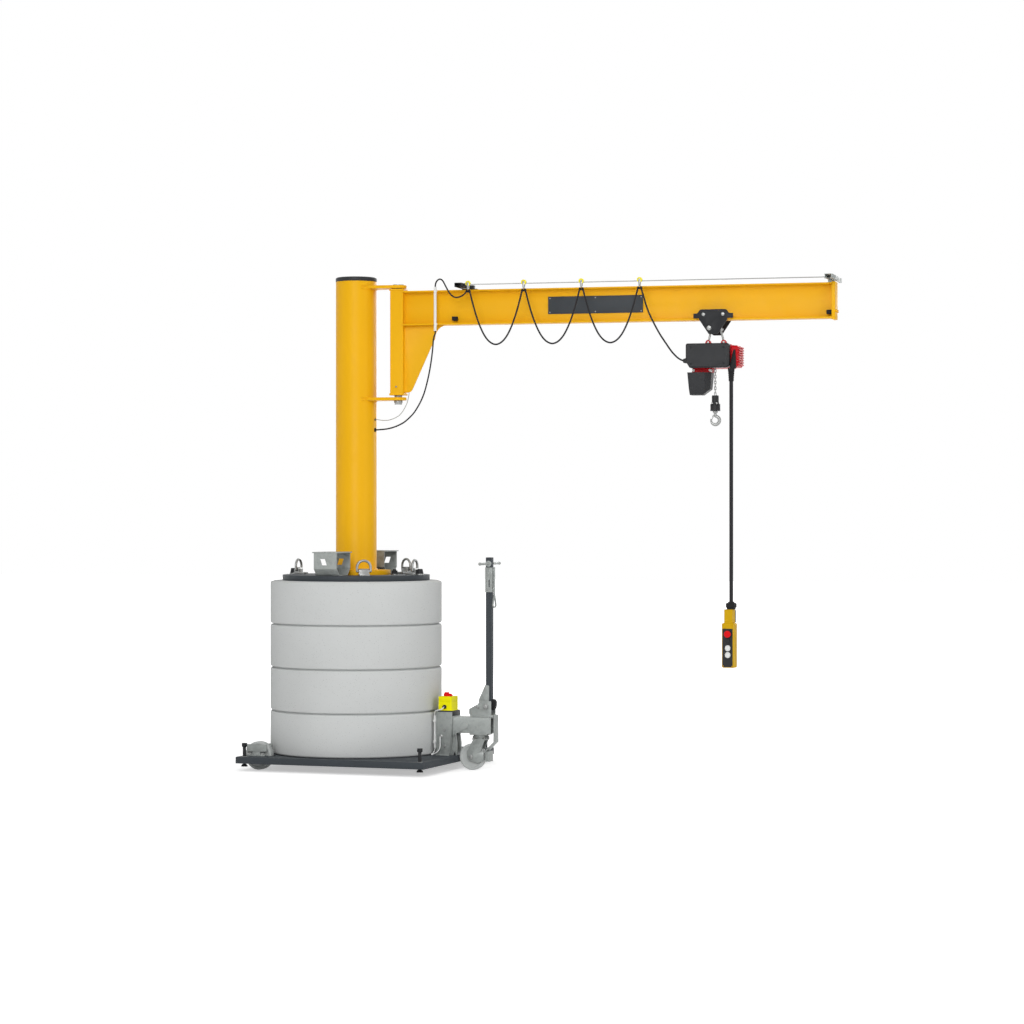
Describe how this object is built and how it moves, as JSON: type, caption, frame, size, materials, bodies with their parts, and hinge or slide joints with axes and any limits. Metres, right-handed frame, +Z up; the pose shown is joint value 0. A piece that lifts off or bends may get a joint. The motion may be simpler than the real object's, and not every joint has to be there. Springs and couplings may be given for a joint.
{
  "type": "jib crane",
  "caption": "Mobile slewing jib crane on a wheeled, ballasted base with a trolley-mounted chain hoist, pendant control, cable loops and a steered drawbar.",
  "frame": {"origin": "on the floor, under the column's axis", "axes": "+Z up, +X from the column towards the castor and drawbar, +Y to the left of that direction"},
  "size_m": [3.0761, 1.03, 2.626],
  "materials": {
    "concrete": "fair-faced concrete",
    "anthracite": "textured powder coat",
    "yellow_paint": "powder coat",
    "galvanised": "hot-dip galvanised",
    "bright_steel": "zinc plated",
    "black_metal": "black paint",
    "black_plastic": "moulded",
    "black_rubber": "rubber",
    "nylon": "cast nylon",
    "white_plastic": "conduit",
    "red_plastic": "moulded",
    "red_paint": "gloss paint",
    "signal_yellow": "moulded",
    "pendant_yellow": "moulded",
    "cable": "rubber sheath",
    "roller_yellow": "moulded"
  },
  "bodies": {
    "chassis": {"base_plate": "anthracite", "axle_brackets": "galvanised", "ballast_ring_1": "concrete", "ballast_ring_2": "concrete", "ballast_ring_3": "concrete", "ballast_ring_4": "concrete", "clamp_plate": "anthracite", "clamp_nuts": "black_metal", "fork_pockets": "galvanised", "lifting_eye_bases": "bright_steel", "column": "yellow_paint", "column_brackets": "yellow_paint", "column_cap": "black_plastic", "steering_post": "galvanised", "switch_box": "signal_yellow", "switch_conduit": "white_plastic"},
    "eye_1": {"lifting_ring_1": "bright_steel"},
    "eye_2": {"lifting_ring_2": "bright_steel"},
    "eye_3": {"lifting_ring_3": "bright_steel"},
    "eye_4": {"lifting_ring_4": "bright_steel"},
    "jack_1": {"jack_screw_1": "black_metal"},
    "jack_2": {"jack_screw_2": "black_metal"},
    "jack_3": {"jack_screw_3": "black_metal"},
    "jack_4": {"jack_screw_4": "black_metal"},
    "rear_left": {"rear_wheel_left": "nylon"},
    "rear_right": {"rear_wheel_right": "nylon"},
    "knob": {"switch_knob": "red_plastic"},
    "steering": {"castor_fork": "galvanised", "drawbar_yoke": "galvanised"},
    "castor": {"castor_wheel": "nylon"},
    "drawbar_arm": {"drawbar": "anthracite", "drawbar_handle": "galvanised"},
    "jib": {"jib_post": "yellow_paint", "jib_beam": "yellow_paint", "beam_end_plates": "yellow_paint", "pivot_pins": "bright_steel", "beam_panel": "anthracite", "beam_stops": "black_rubber", "cable_line": "galvanised", "jib_conduit": "white_plastic", "supply_cables": "cable", "loop_cables": "cable"},
    "car_4": {"cable_car_4": "roller_yellow"},
    "car_3": {"cable_car_3": "roller_yellow"},
    "car_2": {"cable_car_2": "roller_yellow"},
    "car_1": {"cable_car_1": "roller_yellow"},
    "trolley": {"trolley_frame": "black_metal", "trolley_wheels": "bright_steel", "hoist_housing": "red_paint", "hoist_cover": "black_plastic", "chain_container": "black_plastic", "load_chain": "bright_steel", "pendant_cable": "cable", "pendant_box": "pendant_yellow", "pendant_buttons": "red_plastic"},
    "hook_block": {"hook_block": "black_plastic"},
    "hook": {"hook": "bright_steel"},
    "latch": {"hook_latch": "bright_steel"}
  },
  "joints": [
    {"name": "ring_1_fold", "type": "hinge", "parent": "chassis", "child": "eye_1", "pos_m": [0.17, -0.29445, 1.054], "axis": [0.866, 0.5, 0], "range_deg": [-78, 78]},
    {"name": "ring_2_fold", "type": "hinge", "parent": "chassis", "child": "eye_2", "pos_m": [0.34, 0, 1.054], "axis": [0, 1, 0], "range_deg": [-78, 78]},
    {"name": "ring_3_fold", "type": "hinge", "parent": "chassis", "child": "eye_3", "pos_m": [0.17, 0.29445, 1.054], "axis": [-0.866, 0.5, 0], "range_deg": [-78, 78]},
    {"name": "ring_4_fold", "type": "hinge", "parent": "chassis", "child": "eye_4", "pos_m": [-0.34, 0, 1.054], "axis": [0, -1, 0], "range_deg": [-78, 78]},
    {"name": "jack_1_screw", "type": "slide", "parent": "chassis", "child": "jack_1", "axis": [0, 0, -1], "range_m": [0, 0.04]},
    {"name": "jack_2_screw", "type": "slide", "parent": "chassis", "child": "jack_2", "axis": [0, 0, -1], "range_m": [0, 0.04]},
    {"name": "jack_3_screw", "type": "slide", "parent": "chassis", "child": "jack_3", "axis": [0, 0, -1], "range_m": [0, 0.04]},
    {"name": "jack_4_screw", "type": "slide", "parent": "chassis", "child": "jack_4", "axis": [0, 0, -1], "range_m": [0, 0.04]},
    {"name": "rear_left_roll", "type": "hinge", "parent": "chassis", "child": "rear_left", "pos_m": [-0.396, -0.374, 0.075], "axis": [0, 1, 0], "continuous": true},
    {"name": "rear_right_roll", "type": "hinge", "parent": "chassis", "child": "rear_right", "pos_m": [-0.396, 0.374, 0.075], "axis": [0, 1, 0], "continuous": true},
    {"name": "knob_turn", "type": "hinge", "parent": "chassis", "child": "knob", "pos_m": [0.5315, 0, 0.387], "axis": [0, 0, 1], "range_deg": [0, 90]},
    {"name": "steer", "type": "hinge", "parent": "chassis", "child": "steering", "pos_m": [0.718, 0, 0.2], "axis": [0, 0, 1], "range_deg": [-90, 90]},
    {"name": "castor_roll", "type": "hinge", "parent": "steering", "child": "castor", "pos_m": [0.673, 0, 0.07], "axis": [0, 1, 0], "continuous": true},
    {"name": "drawbar_tilt", "type": "hinge", "parent": "steering", "child": "drawbar_arm", "pos_m": [0.759, 0, 0.339], "axis": [0, 1, 0], "range_deg": [0, 85]},
    {"name": "jib_slew", "type": "hinge", "parent": "chassis", "child": "jib", "pos_m": [0.245, 0, 2], "axis": [0, 0, 1], "range_deg": [-120, 110], "deforming": ["supply_cables"]},
    {"name": "trolley_run", "type": "slide", "parent": "jib", "child": "trolley", "axis": [0.9956, 0.0941, 0], "range_m": [-1.2, 0.5], "deforming": ["loop_cables"]},
    {"name": "car_4_run", "type": "slide", "parent": "trolley", "child": "car_4", "axis": [0.9956, 0.0941, 0], "range_m": [-0.2, 0.45]},
    {"name": "car_3_run", "type": "slide", "parent": "car_4", "child": "car_3", "axis": [0.9956, 0.0941, 0], "range_m": [-0.15, 0.26]},
    {"name": "car_2_run", "type": "slide", "parent": "car_3", "child": "car_2", "axis": [0.9956, 0.0941, 0], "range_m": [-0.15, 0.26]},
    {"name": "car_1_run", "type": "slide", "parent": "car_2", "child": "car_1", "axis": [0.9956, 0.0941, 0], "range_m": [-0.15, 0.26]},
    {"name": "hook_lift", "type": "slide", "parent": "trolley", "child": "hook_block", "axis": [0, 0, -1], "range_m": [0, 1.7], "deforming": ["load_chain"]},
    {"name": "hook_swivel", "type": "hinge", "parent": "hook_block", "child": "hook", "pos_m": [1.95936, 0.16205, 1.88], "axis": [0, 0, 1], "continuous": true},
    {"name": "latch_pivot", "type": "hinge", "parent": "hook", "child": "latch", "pos_m": [1.94741, 0.16093, 1.866], "axis": [0.0941, -0.9956, 0], "range_deg": [0, 32], "stiffness_Nm_per_rad": 0.05}
  ],
  "couplings": [
    {"joint": "car_4_run", "follows": "trolley_run", "ratio": -0.366},
    {"joint": "car_3_run", "follows": "trolley_run", "ratio": -0.2113},
    {"joint": "car_2_run", "follows": "trolley_run", "ratio": -0.2127},
    {"joint": "car_1_run", "follows": "trolley_run", "ratio": -0.21}
  ]
}
